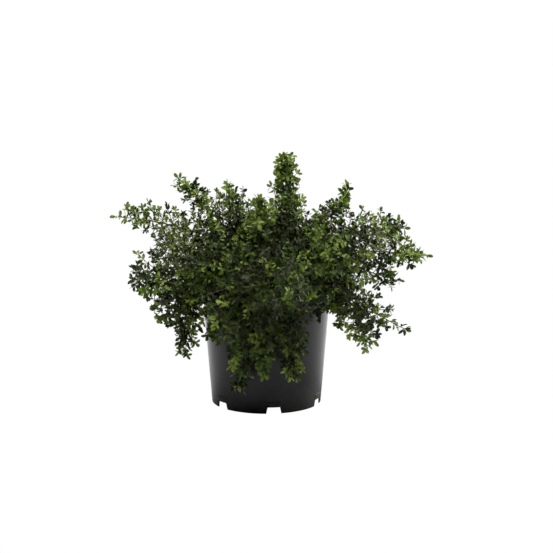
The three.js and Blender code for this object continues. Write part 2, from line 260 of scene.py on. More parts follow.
def from_notch(place):
    """Degrees round the pot from the nearest notch."""
    bearing = math.degrees(math.atan2(place.y, place.x))
    spacing = 360 / NOTCH_COUNT
    return abs((bearing - NOTCH_FIRST + spacing / 2) % spacing - spacing / 2)


def on_pad(place):
    outer = math.hypot(place.x, place.y) > pot_radius(place.z) - WALL / 2
    return outer and PAD_LOW < place.z < PAD_TOP and from_notch(place) < PAD_HALF_ANGLE


pick_faces(pot, on_pad)
bpy.ops.mesh.inset(thickness=0.7 * MM, use_boundary=True)
bpy.ops.transform.resize(value=(PAD_OUT, PAD_OUT, 1), center_override=(0, 0, 0))
bpy.ops.object.mode_set(mode="OBJECT")
print("pot with pads:", len(pot.data.polygons), "faces")

# %% [markdown]
# The foot ring has six notches so that water can run out from under the pot, and the floor has a drain slot
# behind each one. Both are cut with a Boolean modifier. One wedge and one slot are modelled, copied round the
# axis and joined into a single cutter.

# %% Cut the notches and drain slots
NOTCH_TOP_WIDTH = 20
NOTCH_FOOT_WIDTH = 25
NOTCH_HEIGHT = 10.5
DRAIN_WIDTH = 9
DRAIN_LENGTH = 22


def add_block(length, width, low, high, distance):
    """A block on the +X side, with its middle at some distance from the axis, in millimetres."""
    bpy.ops.object.select_all(action="DESELECT")
    bpy.ops.mesh.primitive_cube_add(size=1, location=(distance * MM, 0, (low + high) / 2 * MM))
    block = bpy.context.object
    block.scale = (length * MM, width * MM, (high - low) * MM)
    bpy.ops.object.transform_apply(location=True, rotation=True, scale=True)
    return block


def taper_top(block, width_share, height):
    """Narrows the upper face of a block."""
    pick_faces(block, lambda place: place.z > height)
    bpy.ops.transform.resize(value=(1, width_share, 1), center_override=(0, 0, 0))
    bpy.ops.object.mode_set(mode="OBJECT")


def copies_round(block, first, count):
    """Copies of a block at even steps round the axis, the block itself at the first bearing."""
    made = [block] + [block.copy() for _ in range(count - 1)]
    for number, piece in enumerate(made):
        if number:
            piece.data = block.data.copy()
            bpy.context.collection.objects.link(piece)
        piece.rotation_euler = (0, 0, math.radians(first + number * 360 / count))
    return made


def join(pieces):
    """Joins pieces into the first one, with its place in its mesh."""
    bpy.ops.object.select_all(action="DESELECT")
    for piece in pieces:
        piece.select_set(True)
    bpy.context.view_layer.objects.active = pieces[0]
    bpy.ops.object.transform_apply(location=True, rotation=True, scale=True)
    bpy.ops.object.join()
    return pieces[0]


def apply_modifier(piece, kind, **settings):
    """Adds a modifier, sets it and applies it."""
    bpy.ops.object.select_all(action="DESELECT")
    piece.select_set(True)
    bpy.context.view_layer.objects.active = piece
    modifier = piece.modifiers.new(kind.lower(), kind)
    for name, value in settings.items():
        setattr(modifier, name, value)
    bpy.ops.object.modifier_apply(modifier=modifier.name)


notch = add_block(12, NOTCH_FOOT_WIDTH, -1, NOTCH_HEIGHT, FOOT_RADIUS)
taper_top(notch, NOTCH_TOP_WIDTH / NOTCH_FOOT_WIDTH, NOTCH_HEIGHT - 1)
drain_middle = FOOT_RADIUS - WALL - 1 - DRAIN_LENGTH / 2
drain = add_block(DRAIN_LENGTH, DRAIN_WIDTH, FLOOR_UNDERSIDE - 4, floor_top + 4, drain_middle)
cutter = join(copies_round(notch, NOTCH_FIRST, NOTCH_COUNT) + copies_round(drain, NOTCH_FIRST, NOTCH_COUNT))
apply_modifier(pot, "BOOLEAN", operation="DIFFERENCE", solver="EXACT", object=cutter)
bpy.data.objects.remove(cutter)
apply_modifier(pot, "BEVEL", width=0.35 * MM, segments=2, limit_method="ANGLE", angle_limit=math.radians(50))
bpy.ops.object.shade_smooth_by_angle(angle=math.radians(35))
print("finished pot:", len(pot.data.polygons), "faces")

# %% [markdown]
# ### Black plastic
# The plastic is dyed through, satin and never quite clean. A fine grain breaks up the shine, faint upright
# flow marks come from the mould, dry dust gathers in clouds and most of all at the foot, and a few spots are
# scuffed. All of it is worked out from noise, so that no two sides are alike.

# %% Finish the pot
plastic = Finish("black_plastic")
height_up = plastic.node("ShaderNodeSeparateXYZ", {}, {0: plastic.place()}, "Z")
clouds = plastic.noise(16, 6)
near_foot = 1 - plastic.fade(height_up, 0.0, 0.07)
dust = plastic.fade(clouds + 0.16 * near_foot, 0.54, 0.86)
scuffs = plastic.fade(plastic.noise(420, 2), 0.70, 0.78) * plastic.fade(plastic.noise(30, 2), 0.55, 0.7)
flow_marks = plastic.noise(90, 3, (1, 1, 0.05))
grain = plastic.noise(1500, 2)
clean = plastic.blend(flow_marks, colour(4, 4, 5), colour(9, 9, 10))
dusty = plastic.blend(0.16 * dust, clean, colour(84, 80, 74))
plastic.feed(plastic.shader, {
    "Base Color": plastic.blend(0.5 * scuffs, dusty, colour(150, 148, 144)),
    "Roughness": 0.2 + 0.08 * clouds + 0.25 * dust,
    "Specular IOR Level": 0.28,
    "Normal": plastic.bump(0.5 * grain + flow_marks, 0.00012),
})


def finish_piece(piece, finish, slot, *nodes):
    """Gives a piece its finish, sets it on the plant and hides the solids it stands for."""
    piece.data.materials.clear()
    piece.data.materials.append(finish.material)
    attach(piece, "root")
    if nodes:
        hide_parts(*nodes)


finish_piece(pot, plastic, "pot_plastic", "pot")

# %% [markdown]
# ## Potting mix
# The pot is filled with a coarse, dark mix of bark and peat that has sunk a little at the wall. It starts as
# a disc pulled up through the pot, and its top is cut finer and roughened with a Displace modifier. Loose
# chips of bark lie on it, each a copy of one bent splinter.

# %% Fill the pot
SOIL_TOP = 180
SOIL_DIP = 4
SOIL_FLAT = 34
SOIL_SIDES = 72
CLEAR = 0.3


def inside_wall(height):
    return pot_radius(height) - WALL - CLEAR


soil_foot = floor_top + CLEAR
soil_edge = SOIL_TOP - SOIL_DIP
soil_section = [(inside_wall(soil_edge), soil_edge)]
for share in (0.2, 0.4, 0.6, 0.8, 1.0):
    ring_radius = inside_wall(soil_edge) * (1 - share) + SOIL_FLAT * share
    soil_section.append((ring_radius, soil_edge + SOIL_DIP * share))
soil_section += [(SOIL_FLAT * 0.6, SOIL_TOP), (SOIL_FLAT * 0.2, SOIL_TOP)]

mix = start_ring("potting_mix", inside_wall(soil_foot), soil_foot, SOIL_SIDES)
pull_ring((inside_wall(soil_foot), soil_foot), soil_section)
close_ring()
pick_faces(mix, lambda place: place.z > soil_edge + 0.1)
bpy.ops.mesh.subdivide(number_cuts=2)
bpy.ops.object.vertex_group_add()
bpy.ops.object.vertex_group_assign()
bpy.ops.object.mode_set(mode="OBJECT")
clods = bpy.data.textures.new("clods", "CLOUDS")
clods.noise_scale = 9 * MM
clods.noise_depth = 3
apply_modifier(
    mix,
    "DISPLACE",
    texture=clods,
    texture_coords="LOCAL",
    direction="Z",
    strength=7 * MM,
    mid_level=0.5,
    vertex_group=mix.vertex_groups[0].name,
)
bpy.ops.object.shade_smooth_by_angle(angle=math.radians(60))
print("potting mix:", len(mix.data.polygons), "faces")

# %% Strew bark chips on the mix
CHIP_COUNT = 220
CHIP_SEED = 5


def joined_mesh(name, places, faces, smooth=True):
    """A piece from an array of places in millimetres and a list of faces."""
    mesh = bpy.data.meshes.new(name)
    mesh.from_pydata((np.asarray(places) * MM).tolist(), [], faces)
    mesh.polygons.foreach_set("use_smooth", np.full(len(mesh.polygons), smooth))
    mesh.update()
    piece = bpy.data.objects.new(name, mesh)
    bpy.context.scene.collection.objects.link(piece)
    return piece


splinter = add_block(9, 4, 0, 1.4, 0)
bpy.ops.object.mode_set(mode="EDIT")
bpy.ops.mesh.select_all(action="SELECT")
bpy.ops.mesh.subdivide(number_cuts=1)
bpy.ops.transform.vertex_random(offset=0.9 * MM, seed=CHIP_SEED)
bpy.ops.object.mode_set(mode="OBJECT")
splinter_places = np.array([vertex.co for vertex in splinter.data.vertices]) / MM
splinter_faces = [list(face.vertices) for face in splinter.data.polygons]
bpy.data.objects.remove(splinter)

chance = np.random.default_rng(CHIP_SEED)
chip_places = []
chip_faces = []
for number in range(CHIP_COUNT):
    size = chance.uniform(0.5, 1.5, 3)
    turn, tilt = chance.uniform(0, 2 * math.pi), chance.normal(0, 0.25)
    distance = inside_wall(soil_edge) * math.sqrt(chance.uniform(0.03, 0.88))
    bearing = chance.uniform(0, 2 * math.pi)
    tilted = splinter_places * size @ np.array(
        [[math.cos(tilt), 0, math.sin(tilt)], [0, 1, 0], [-math.sin(tilt), 0, math.cos(tilt)]]
    )
    turned = tilted @ np.array(
        [[math.cos(turn), math.sin(turn), 0], [-math.sin(turn), math.cos(turn), 0], [0, 0, 1]]
    )
    lying = SOIL_TOP - SOIL_DIP * max(0, distance - SOIL_FLAT) / (inside_wall(soil_edge) - SOIL_FLAT)
    chip_faces += [[corner + len(splinter_places) * number for corner in face] for face in splinter_faces]
    chip_places.append(turned + [distance * math.cos(bearing), distance * math.sin(bearing), lying + 0.6])
chips = joined_mesh("bark_chips", np.concatenate(chip_places), chip_faces, smooth=False)
print("bark chips:", CHIP_COUNT)

# %% [markdown]
# ### Damp mix and chips
# Peat is dark and soaks up light. The chips are redder and a little paler where they have dried. Both
# finishes are rough, with crumbs in the bump.

# %% Finish the mix
peat = Finish("damp_peat")
crumbs = peat.noise(330, 6)
peat.feed(peat.shader, {
    "Base Color": peat.blend(peat.fade(crumbs, 0.35, 0.7), colour(24, 18, 13), colour(62, 48, 36)),
    "Roughness": 0.96 - 0.12 * crumbs,
    "Normal": peat.bump(crumbs, 0.003),
})
finish_piece(mix, peat, "potting_mix", "soil")

chip_bark = Finish("chip_bark")
fibres = chip_bark.noise(160, 4, (1, 1, 4))
chip_bark.feed(chip_bark.shader, {
    "Base Color": chip_bark.blend(fibres, colour(44, 28, 20), colour(112, 82, 58)),
    "Roughness": 0.95 - 0.15 * fibres,
    "Normal": chip_bark.bump(chip_bark.noise(700, 4), 0.0008),
})
finish_piece(chips, chip_bark, "potting_mix")

# %% [markdown]
# ## The lines of growth
# The shrub forks low down from one short trunk into 28 shoots. Each shoot is one smooth curve from the heart
# of the trunk to a tip that was placed from the outline in the picture. A shoot has a habit: how it climbs,
# bends and droops, how long its side twigs are and how close they stand, at what angle they leave it and how
# far they lift to the light. Habits run from upright at the top to hanging down over the pot. Side twigs get
# shorter towards the tip of a shoot, less so where a habit gives its own shortening.

# %% Shoots
TRUNK_HEIGHT = 60
TRUNK_RADIUS = 9
TRUNK_TAPER = 0.72
TRUNK_FLARE = 5.5
TRUNK_LEAN = 5
BOUGH_RADIUS = 2.2
BOUGH_TIP_RADIUS = 1.5
BOUGH_SHARE = 0.25
FORK_LOW = 13
FORK_HIGH = 52
FORK_STEP = 4
REACH_LOW = np.array([-268.0, -246.0, 24.0])
REACH_HIGH = np.array([268.0, 246.0, 411.0])
UP = np.array([0.0, 0.0, 1.0])

UPRIGHT = {"climb": 66, "bend": 0.86, "droop": -70, "twig": 56, "step": 3.8, "angle": 42, "lift": 0.15}
SLENDER = {"climb": 66, "bend": 1.2, "droop": -70, "twig": 42, "step": 3.2, "angle": 40, "lift": 0.1}
RISING = {"climb": 34, "bend": 0.8, "droop": -30, "twig": 50, "step": 3.6, "angle": 48, "lift": 0.1}
LEVEL = {"climb": 60, "bend": 0.8, "droop": 2, "twig": 60, "step": 3.8, "angle": 54, "lift": 0.2}
SPREADING = {"climb": 42, "bend": 0.86, "droop": 10, "twig": 80, "step": 4.4, "angle": 54, "lift": 0.0}
ARCHING = {"climb": 46, "bend": 0.84, "droop": 50, "twig": 80, "step": 4.4, "angle": 54, "lift": -0.15}
SLANTING = {"climb": 66, "bend": 0.7, "droop": 10, "twig": 50, "step": 5.6, "angle": 50, "lift": -0.1}
TRAILING = {"climb": 38, "bend": 0.9, "droop": 140, "twig": 80, "step": 4.2, "angle": 54, "lift": -0.15}
DROOPING = {"climb": 60, "bend": 1.14, "droop": 240, "twig": 76, "step": 3.8, "angle": 54, "lift": -0.25}
HANGING = DROOPING | {"shortening": 0.84}
LEANING = UPRIGHT | {"bend": 1.5, "droop": -100, "twig": 54, "step": 2.6, "shortening": 0.76}
SPARSE = LEVEL | {"twig": 52, "step": 5.0}

# Each shoot: its habit, then its tip's bearing in degrees, reach from the axis and height in millimetres
SHOOTS = {
    "crest": (LEANING, 17, 29, 409),
    "upper_left": (RISING, 165, 157, 371),
    "upper_right": (SLENDER, 14, 132, 362),
    "upper_front": (UPRIGHT, -100, 72, 350),
    "upper_back_left": (UPRIGHT, 127, 110, 358),
    "upper_back_right": (UPRIGHT, 64, 114, 338),
    "far_left": (SPARSE, 171, 262, 299),
    "left": (SPREADING, -170, 222, 204),
    "right_shoulder": (LEVEL, 18, 254, 275),
    "right_arch": (LEVEL, -10, 270, 247),
    "right": (LEVEL, 4, 228, 196),
    "back_left": (SPREADING, 140, 246, 232),
    "back": (SPREADING, 98, 238, 222),
    "back_right": (SPREADING, 60, 246, 228),
    "front_left": (TRAILING, -120, 156, 114),
    "front": (SPREADING, -82, 234, 205),
    "front_right": (ARCHING, -50, 154, 166),
    "left_low": (ARCHING, -160, 210, 177),
    "front_low": (HANGING, -91, 165, 62),
    "right_low": (SLANTING, -26, 258, 138),
    "back_low": (ARCHING, 44, 206, 140),
    "left_hang": (HANGING, -147, 149, 76),
    "right_hang": (TRAILING, -38, 203, 97),
    "front_hang_left": (HANGING, -106, 141, 32),
    "front_hang_right": (HANGING, -74, 142, 54),
    "back_hang": (HANGING, 120, 158, 98),
    "left_fall": (ARCHING, -151, 193, 144),
    "right_fall": (HANGING, -32, 136, 122),
}


class Line:
    """A Bezier curve through space, in millimetres."""

    def __init__(self, *corners):
        self.corners = np.array(corners, float)
        self.marks = np.linspace(0, 1, 60)
        steps = np.linalg.norm(np.diff(self.at(self.marks), axis=0), axis=1)
        self.travelled = np.r_[0, np.cumsum(steps)]
        self.length = self.travelled[-1]

    def weighted(self, corners, shares):
        shares = np.atleast_1d(shares)[:, None]
        degree = len(corners) - 1
        powers = [
            math.comb(degree, i) * shares**i * (1 - shares) ** (degree - i) for i in range(degree + 1)
        ]
        return sum(power * corner for power, corner in zip(powers, corners))

    def at(self, shares):
        return self.weighted(self.corners, shares)

    def heading(self, shares):
        """The unit direction of growth at each share of the way."""
        return unit(self.weighted(np.diff(self.corners, axis=0), shares))

    def paced(self, parts):
        """The curve's own shares at parts of its length, because it runs faster where it is less bent."""
        return np.interp(np.asarray(parts) * self.length, self.travelled, self.marks)


def unit(vectors):
    return vectors / np.linalg.norm(vectors, axis=-1, keepdims=True)


def shoot_line(habit, bearing, reach, height, index):
    """A shoot with a lower tip starts lower down, and every other one a little lower still."""
    share = np.clip((height - REACH_LOW[2]) / (REACH_HIGH[2] - REACH_LOW[2]), 0, 1)
    step = FORK_STEP if index % 2 else 0
    fork = (FORK_LOW + (FORK_HIGH - FORK_LOW) * share - step) / TRUNK_HEIGHT
    start = trunk_line.at(fork)[0]
    out = np.array([math.cos(math.radians(bearing)), math.sin(math.radians(bearing)), 0])
    leaving = start + out * 0.3 * reach + UP * habit["climb"]
    arriving = out * habit["bend"] * reach + UP * (height + habit["droop"])
    return Line(start, leaving, arriving, out * reach + UP * height)


trunk_top = [TRUNK_LEAN, 0, SOIL_TOP + TRUNK_HEIGHT]
trunk_line = Line([0, 0, SOIL_TOP + CLEAR], [0, 0, SOIL_TOP + TRUNK_HEIGHT / 2], trunk_top)
lines = [shoot_line(*shoot, index) for index, shoot in enumerate(SHOOTS.values())]
print("shoots:", len(lines), "longest", round(max(line.length for line in lines)), "mm")

# %% [markdown]
# ## Trunk and boughs
# Old ceanothus wood is grey-brown and fibrous, with fine ridges that run along it. Every limb is a tube whose
# rings follow its line. The ridges are moved into the mesh itself, so that the bark also shows at the edge of
# a limb, and a bough swells into a collar where it leaves the trunk.

# %% Tubes along lines
def tube(points, radii, sides, relief=0.0):
    """Places and faces of a closed tube. Relief is the depth of its bark ridges, in millimetres."""
    headings = unit(np.gradient(points, axis=0))
    level = UP if abs(headings[0] @ UP) < 0.9 else np.array([1.0, 0, 0])
    across = unit(np.cross(level, headings))
    lift = np.cross(headings, across)
    angles = np.arange(sides) * 2 * math.pi / sides
    travelled = np.r_[0, np.cumsum(np.linalg.norm(np.diff(points, axis=0), axis=1))][:, None]
    wander = 1.3 * np.sin(travelled / 11) + 0.8 * np.sin(travelled / 4.7 + 1)
    ridges = np.sin(7 * angles + wander) + 0.6 * np.sin(12 * angles - 1.7 * wander + travelled / 6)
    knots = 0.5 * np.sin(travelled / 3.1 + 2 * np.cos(angles))
    around = radii[:, None] + relief * (ridges + knots)
    rings = (
        points[:, None]
        + around[..., None] * np.cos(angles)[None, :, None] * across[:, None]
        + around[..., None] * np.sin(angles)[None, :, None] * lift[:, None]
    )
    rows = np.arange(len(points) - 1)[:, None] * sides
    here = np.arange(sides)[None, :]
    beside = (here + 1) % sides
    walls = np.stack([rows + here, rows + beside, rows + sides + beside, rows + sides + here], -1)
    last = (len(points) - 1) * sides
    ends = [list(range(sides))[::-1], list(range(last, last + sides))]
    return rings.reshape(-1, 3), walls.reshape(-1, 4).tolist() + ends


class Heap:
    """Many small shapes on their way to becoming one piece."""

    def __init__(self):
        self.places = []
        self.faces = []
        self.count = 0

    def add(self, places, faces):
        self.places.append(places)
        self.faces += [[corner + self.count for corner in face] for face in faces]
        self.count += len(places)

    def piece(self, name):
        return joined_mesh(name, np.concatenate(self.places), self.faces)


def limb_radii(points, start, end):
    return np.linspace(start, end, len(points))


# %% Trunk and boughs with bark
TRUNK_SUNK = 4
COLLAR = 1.4
COLLAR_FADE = 5

shares = np.linspace(0, 1, 110)
trunk_points = trunk_line.at(shares)
trunk_points[0] -= UP * TRUNK_SUNK
taper = TRUNK_RADIUS * (1 - (1 - TRUNK_TAPER) * shares)
trunk_radii = taper + TRUNK_FLARE * np.exp(-7 * shares)
trunk_radii[-4:] *= [0.93, 0.8, 0.55, 0.2]
trunk = Heap()
trunk.add(*tube(trunk_points, trunk_radii, 56, relief=0.38))
trunk_piece = trunk.piece("trunk_bark")

boughs = Heap()
for line in lines:
    points = line.at(np.linspace(0, BOUGH_SHARE, 44))
    beyond = np.maximum(0, np.linspace(0, BOUGH_SHARE, 44) * line.length - TRUNK_RADIUS)
    radii = limb_radii(points, BOUGH_RADIUS, BOUGH_TIP_RADIUS) + COLLAR * np.exp(-beyond / COLLAR_FADE)
    boughs.add(*tube(points, radii, 20, relief=0.09))
bough_piece = boughs.piece("bough_bark")
print("trunk and boughs:", len(trunk_piece.data.polygons) + len(bough_piece.data.polygons), "faces")

# %% Finish the bark
old_bark = Finish("old_bark")
fibre = old_bark.noise(420, 5, (1, 1, 0.18))
patches = old_bark.noise(60, 3)
weathered = old_bark.blend(old_bark.fade(fibre, 0.35, 0.68), colour(48, 34, 26), colour(124, 104, 84))
old_bark.feed(old_bark.shader, {
    "Base Color": old_bark.blend(0.5 * old_bark.fade(patches, 0.5, 0.7), weathered, colour(96, 98, 82)),
    "Roughness": 0.92 - 0.16 * fibre,
    "Normal": old_bark.bump(fibre, 0.0006),
})
finish_piece(trunk_piece, old_bark, "bark", "trunk")
finish_piece(bough_piece, old_bark, "bark", *(f"bough_{shoot}" for shoot in SHOOTS))

# %% [markdown]
# ## Each shoot keeps to its own space
# Twigs and leaves of neighbouring shoots would grow through each other if nothing stopped them. A twig or
# leaf is kept only where it lies inside the reach of the plant, off the pot, off the bare limbs, and nearer
# to its own stem than to any other. Neighbours may mingle by about a centimetre, as real sprays do.

# %% Own space
LINE_SAMPLES = 81
MINGLE = 24
POT_GAP = 3
LIMB_GAP = 1.0

samples = [line.at(np.linspace(0, 1, LINE_SAMPLES)) for line in lines]
bough_end = math.ceil((LINE_SAMPLES - 1) * BOUGH_SHARE)
bough_points = np.concatenate([points[: bough_end + 1] for points in samples])
stem_points = np.stack([points[bough_end:] for points in samples])


def nearest(points, others):
    """The distance from each point to the nearest of the others."""
    square = (points**2).sum(1)[:, None] + (others**2).sum(1)[None] - 2 * points @ others.T
    return np.sqrt(np.maximum(square.min(1), 0))


def in_own_space(points, index):
    """Whether each point may be taken by the shoot with that number."""
    inside_reach = ((points >= REACH_LOW) & (points <= REACH_HIGH)).all(1)
    over_pot = np.hypot(points[:, 0], points[:, 1]) < rim + POT_GAP
    off_pot = ~(over_pot & (points[:, 2] < POT_HEIGHT + POT_GAP))
    off_limbs = nearest(points, bough_points) > BOUGH_RADIUS + LIMB_GAP
    own = nearest(points, stem_points[index])
    others = np.delete(stem_points, index, axis=0).reshape(-1, 3)
    return inside_reach & off_pot & off_limbs & (own < nearest(points, others) + MINGLE)


# %% [markdown]
# ## Twigs and leaves
# Along each stem side twigs leave at a steady angle, each turned by the golden angle from the last, so that
# they fan out evenly. They bend up to the light, or hang where the shoot hangs. A twig carries finer twigs,
# and twig and stem carry leaves in opposite pairs, each pair turned a quarter from the one before it. A leaf
# is noted here by its root, direction, upper side, length and tint. Its mesh comes later.

# %% Rules of growth
GROWTH_SEED = 31
GOLDEN_ANGLE = math.radians(137.5)
FINE_TWIG_ANGLE = math.radians(46)
TWIG_CROWDING = 1.1
FIRST_TWIG = 0.1
LAST_TWIG = 0.93
TWIG_SHORTENING = 0.95
FORKING_TWIG = 24
FINE_TWIG_SHARES = (0.22, 0.4, 0.56, 0.72)
FINE_TWIG_LENGTH = 0.44
LEAF_LENGTH = 9.4
LEAF_GROWTH = 0.58
LEAF_STEP = 6.4
LEAF_ANGLE = math.radians(68)
YOUNG_LEAF = 0.78

# Tints of the sprays, with how often each one turns up in old, shaded growth and in young, well-lit growth
# The darker tints go inside the shrub and the brighter ones high up, partly as painted shade and painted
# light.
TINTS = {
    "young": (0.0, 0.48),
    "bright": (0.08, 0.42),
    "middle": (0.34, 0.1),
    "deep": (0.46, 0.0),
    "grey": (0.12, 0.0),
}
# How young and lit the lowest tips look, and how much brighter the top is tinted, as painted light from above
LOW_LIGHT = 0.36
TOP_LIGHT = 0.7
tint_names = list(TINTS)


def sideways(heading, turn, angle):
    """The direction that leaves a limb at an angle, turned round the limb."""
    level = UP if abs(heading @ UP) < 0.95 else np.array([1.0, 0, 0])
    first = unit(np.cross(heading, level))
    second = np.cross(heading, first)
    outward = first * math.cos(turn) + second * math.sin(turn)
    return outward * math.sin(angle) + heading * math.cos(angle)


class Leaves:
    """Every leaf of the plant, in lists that run side by side."""

    def __init__(self):
        self.roots = []
        self.ways = []
        self.faces = []
        self.lengths = []
        self.tints = []

    def add(self, root, way, face, length, tint, index):
        """Notes a leaf where there is room for it."""
        reach = root + np.outer([0.6, 1.0], way) * length
        if not in_own_space(reach, index).all():
            return
        self.roots.append(root)
        self.ways.append(way)
        self.faces.append(face)
        self.lengths.append(length)
        self.tints.append(tint)


leaves = Leaves()
twigs = []


def leaf_pairs(line, first, full, tint, young_tint, index, chance, end=1.0):
    """Opposite pairs along a line from a first part of its length, wider apart where leaves are larger."""
    last = end - full * YOUNG_LEAF / line.length
    spacing = LEAF_STEP * (full / LEAF_LENGTH) ** 2
    count = max(1, round(line.length * (last - first) / spacing))
    quarter = chance.uniform(0, math.pi)
    for pair, share in enumerate(line.paced(np.linspace(min(first, last), last, count))):
        root = line.at(share)[0]
        heading = line.heading(share)[0]
        near_tip = pair == count - 1
        size = full * (YOUNG_LEAF if near_tip else 1)
        for side in (0, math.pi):
            turn = quarter + pair * math.pi / 2 + side + chance.normal(0, 0.2)
            way = sideways(heading, turn, LEAF_ANGLE + chance.normal(0, 0.14))
            face = unit(heading + 0.5 * UP + chance.normal(0, 0.75, 3))
            length = size * chance.uniform(0.78, 1.15)
            leaves.add(root, way, face, length, young_tint if near_tip else tint, index)
    tip_face = unit(np.cross(heading, sideways(heading, quarter, math.pi / 2)))
    leaves.add(root, heading, tip_face, full * YOUNG_LEAF, young_tint, index)


def side_twig(line, share, turn, angle, length, lift, index):
    """A twig where there is room for one: full length first, then shorter, then turned to another side."""
    base = line.at(share)[0]
    for further in (0, math.pi / 2, -math.pi / 2, math.pi):
        way = unit(sideways(line.heading(share)[0], turn + further, angle) + UP * lift)
        for shorter in (1, 0.7, 0.45):
            reach = length * shorter
            bent = Line(base, base + way * reach * 0.55, base + way * reach + UP * lift * reach * 0.4)
            if in_own_space(bent.at([0.4, 0.7, 1.0]), index).all():
                return bent
    return None


def freshness_and_painted_light(share, height):
    """0 for old leaves inside the shrub and 1 for young ones at the tips; brighter high up and darker inside,
    as painted light and shade.
    """
    high_up = np.clip((height - POT_HEIGHT) / (REACH_HIGH[2] - POT_HEIGHT), 0, 1)
    return min(1, share**1.5 * (LOW_LIGHT + (1 - LOW_LIGHT) * high_up) + TOP_LIGHT * high_up)


def pick_tint(fresh_and_lit, chance):
    """A tint for a spray. Young, well-lit growth more often gets the young and bright tints, partly as
    painted light.
    """
    weights = [inner + (outer - inner) * fresh_and_lit for inner, outer in TINTS.values()]
    return int(chance.choice(len(TINTS), p=np.array(weights) / sum(weights)))


# %% Grow every shoot
YOUNG = tint_names.index("young")
BRIGHT = tint_names.index("bright")


def leafy_end(habit):
    """The part of its length where a shoot ends. A hanging one is bent back, and stops a little short."""
    return min(1, 1 + 0.2 * habit["lift"])


def grow(index, habit):
    chance = np.random.default_rng(GROWTH_SEED + index)
    stem = lines[index]
    count = int(stem.length * (LAST_TWIG - FIRST_TWIG) / habit["step"])
    first_turn = chance.uniform(0, 2 * math.pi)
    for number, evenly in enumerate(np.linspace(0, 1, count)):
        share = stem.paced(FIRST_TWIG + (LAST_TWIG - FIRST_TWIG) * evenly**TWIG_CROWDING)
        full = LEAF_LENGTH * (1 + LEAF_GROWTH * share**2)
        turn = first_turn + GOLDEN_ANGLE * number + chance.normal(0, 0.2)
        shortening = habit.get("shortening", TWIG_SHORTENING) * share**3
        length = habit["twig"] * (1 - shortening) * chance.uniform(0.75, 1.1)
        # Young, high and outer sprays get brighter tints: partly real age, partly painted light and shade.
        fresh_and_lit = freshness_and_painted_light(share, stem.at(share)[0][2])
        tint = pick_tint(fresh_and_lit, chance)
        tip_tint = YOUNG if chance.uniform() < 0.25 * fresh_and_lit else tint
        angle = math.radians(habit["angle"])
        twig = side_twig(stem, share, turn, angle, length, habit["lift"], index)
        if twig is None:
            continue
        twigs.append((twig, 0.8, 0.45))
        leaf_pairs(twig, 0.14, full, tint, tip_tint, index, chance)
        if twig.length < FORKING_TWIG:
            continue
        for fine_number, fine_share in enumerate(FINE_TWIG_SHARES):
            fine_turn = turn + GOLDEN_ANGLE * fine_number
            fine_length = twig.length * FINE_TWIG_LENGTH * (1.3 - fine_share) * chance.uniform(0.8, 1.2)
            fine = side_twig(twig, fine_share, fine_turn, FINE_TWIG_ANGLE, fine_length, habit["lift"], index)
            if fine is not None:
                twigs.append((fine, 0.5, 0.32))
                leaf_pairs(fine, 0.3, full, tint, tip_tint, index, chance)
    full = LEAF_LENGTH * (1 + LEAF_GROWTH)
    tint = pick_tint(freshness_and_painted_light(1, stem.at(1)[0][2]), chance)
    leaf_pairs(stem, 0.4, full, tint, BRIGHT, index, chance, leafy_end(habit))


for index, (habit, *_) in enumerate(SHOOTS.values()):
    grow(index, habit)
print("twigs:", len(twigs), "leaves:", len(leaves.roots))

# %% [markdown]
# ### Stems and twigs
# The stems carry on from the boughs without a step and thin out towards their tips. Their bark is brown, and
# the skin of the twigs is green in some places and brown in others. Twigs are thin, so a tube of three sides
# is enough for each.

# %% Stems and twigs as tubes
STEM_TIP_RADIUS = 0.55
stems = Heap()
for line, (habit, *_) in zip(lines, SHOOTS.values()):
    last = line.paced(leafy_end(habit) - LEAF_LENGTH / line.length)
    points = line.at(np.linspace(BOUGH_SHARE - 0.005, last, 56))
    stems.add(*tube(points, limb_radii(points, BOUGH_TIP_RADIUS, STEM_TIP_RADIUS), 8, relief=0.03))
stem_piece = stems.piece("stems")
twig_heap = Heap()
for line, thick, thin in twigs:
    points = line.at(np.linspace(0, 1 - LEAF_LENGTH * YOUNG_LEAF / line.length, 4))
    twig_heap.add(*tube(points, limb_radii(points, thick, thin), 3))
twig_piece = twig_heap.piece("twigs")
print("stems and twigs:", len(stem_piece.data.polygons) + len(twig_piece.data.polygons), "faces")

# %% Finish the stems and twigs
stem_bark = Finish("stem_bark")
streaks = stem_bark.noise(520, 4, (1, 1, 0.3))
stem_bark.feed(stem_bark.shader, {
    "Base Color": stem_bark.blend(stem_bark.fade(streaks, 0.3, 0.7), colour(38, 30, 20), colour(86, 72, 50)),
    "Roughness": 0.8 - 0.2 * streaks,
    "Normal": stem_bark.bump(streaks, 0.0003),
})
finish_piece(stem_piece, stem_bark, "bark")

twig_skin = Finish("twig_skin")
ripeness = twig_skin.noise(38, 3)
twig_skin.feed(twig_skin.shader, {
    "Base Color": twig_skin.blend(twig_skin.fade(ripeness, 0.4, 0.6), colour(84, 90, 50), colour(74, 58, 40)),
    "Roughness": 0.5 + 0.2 * ripeness,
    "Normal": twig_skin.bump(twig_skin.noise(900, 3), 0.0002),
})
finish_piece(twig_piece, twig_skin, "foliage")

# %% [markdown]
# ### Leaves
# A leaf is small, leathery and broadest past its middle, with a rounded tip, a short stalk and edges that
# lift on either side of the midrib. One leaf of a few faces is drawn, then set in every place that was noted,
# all at once with arrays. The leaves of a tint make one piece. A UV map that runs across and along each leaf
# lets the finish draw its midrib and veins.

# %% One leaf
LEAF_WIDTH = 0.5
LEAF_ROWS = ((0, 0.05), (0.1, 0.07), (0.36, 0.43), (0.7, 0.49), (0.93, 0.26))
LEAF_FOLD = 0.3
LEAF_ARCH = 0.16


